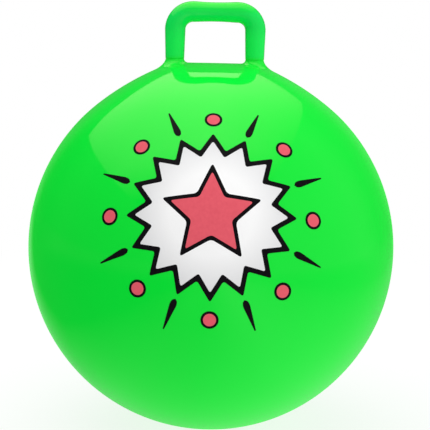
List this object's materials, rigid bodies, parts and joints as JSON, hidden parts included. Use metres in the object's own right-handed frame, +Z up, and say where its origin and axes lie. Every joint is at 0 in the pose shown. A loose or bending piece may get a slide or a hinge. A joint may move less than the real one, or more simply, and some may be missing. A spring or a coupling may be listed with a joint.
{
  "type": "hopper ball",
  "caption": "Inflated glossy vinyl hopper ball with a hollow loop handle blended into its top and a push-in air valve at the back, for a child to sit on and bounce.",
  "frame": {"origin": "middle of the flat patch on which the ball stands, straight under the ball's centre", "axes": "+Z up through the ball's centre and the middle of the handle; the handle's bar runs along X; the printed front faces -Y and the air valve is at the back, towards +Y"},
  "size_m": [0.4498, 0.4498, 0.5232],
  "materials": {
    "ball_green": "glossy moulded vinyl",
    "grip_green": "glossy moulded vinyl",
    "valve_white": "satin moulded polyethylene",
    "print_black": "screen-printed ink on vinyl",
    "print_white": "screen-printed ink on vinyl",
    "print_red": "screen-printed ink on vinyl"
  },
  "bodies": {
    "ball": {"ball_skin": "ball_green", "handle_saddle": "ball_green", "handle_grip": "grip_green", "valve_seat": "ball_green"},
    "plug": {"valve_plug": "valve_white"}
  },
  "joints": [
    {"name": "plug_pull", "type": "slide", "parent": "ball", "child": "plug", "axis": [0, 0.766, 0.6428], "range_m": [0, 0.018]}
  ]
}
